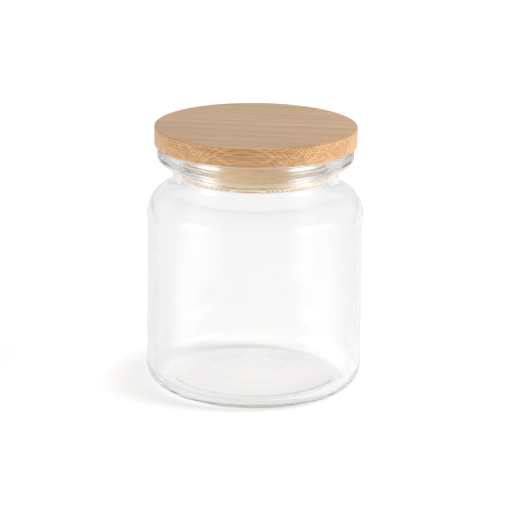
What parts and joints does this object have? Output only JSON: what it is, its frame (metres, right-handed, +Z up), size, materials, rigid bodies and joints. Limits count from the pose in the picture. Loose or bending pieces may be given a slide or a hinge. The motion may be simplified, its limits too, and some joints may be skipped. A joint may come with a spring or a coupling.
{
  "type": "glass storage jar",
  "caption": "Round clear glass storage jar with a rim bead, rounded shoulder and a push-in bamboo lid sealed by a silicone ring.",
  "frame": {"origin": "middle of the base, on the surface that the jar stands on", "axes": "+Z up along the jar's axis, X along the bamboo's grain, -Y towards the side that the first view shows"},
  "size_m": [0.1, 0.1, 0.123],
  "materials": {
    "clear_glass": "clear soda-lime glass, fire-polished, with a stippled standing ring",
    "bamboo": "flat-pressed bamboo, sanded and unvarnished, with fine fibre streaks and end-grain dots",
    "silicone": "translucent white food-grade silicone, satin"
  },
  "bodies": {
    "jar": {"glass_jar": "clear_glass"},
    "seal": {"seal_ring": "silicone"},
    "lid": {"lid_stave_1": "bamboo", "lid_stave_2": "bamboo", "lid_stave_3": "bamboo", "lid_stave_4": "bamboo", "lid_stave_5": "bamboo", "lid_stave_6": "bamboo", "plug_lower_stave_1": "bamboo", "plug_lower_stave_2": "bamboo", "plug_lower_stave_3": "bamboo", "plug_lower_stave_4": "bamboo", "plug_upper_stave_1": "bamboo", "plug_upper_stave_2": "bamboo", "plug_upper_stave_3": "bamboo", "plug_upper_stave_4": "bamboo"}
  },
  "joints": [
    {"name": "lid_lift", "type": "slide", "parent": "jar", "child": "seal", "axis": [0, 0, 1], "range_m": [0, 0.09]},
    {"name": "lid_turn", "type": "hinge", "parent": "seal", "child": "lid", "pos_m": [0, 0, 0.1058], "axis": [0, 0, 1], "continuous": true}
  ]
}
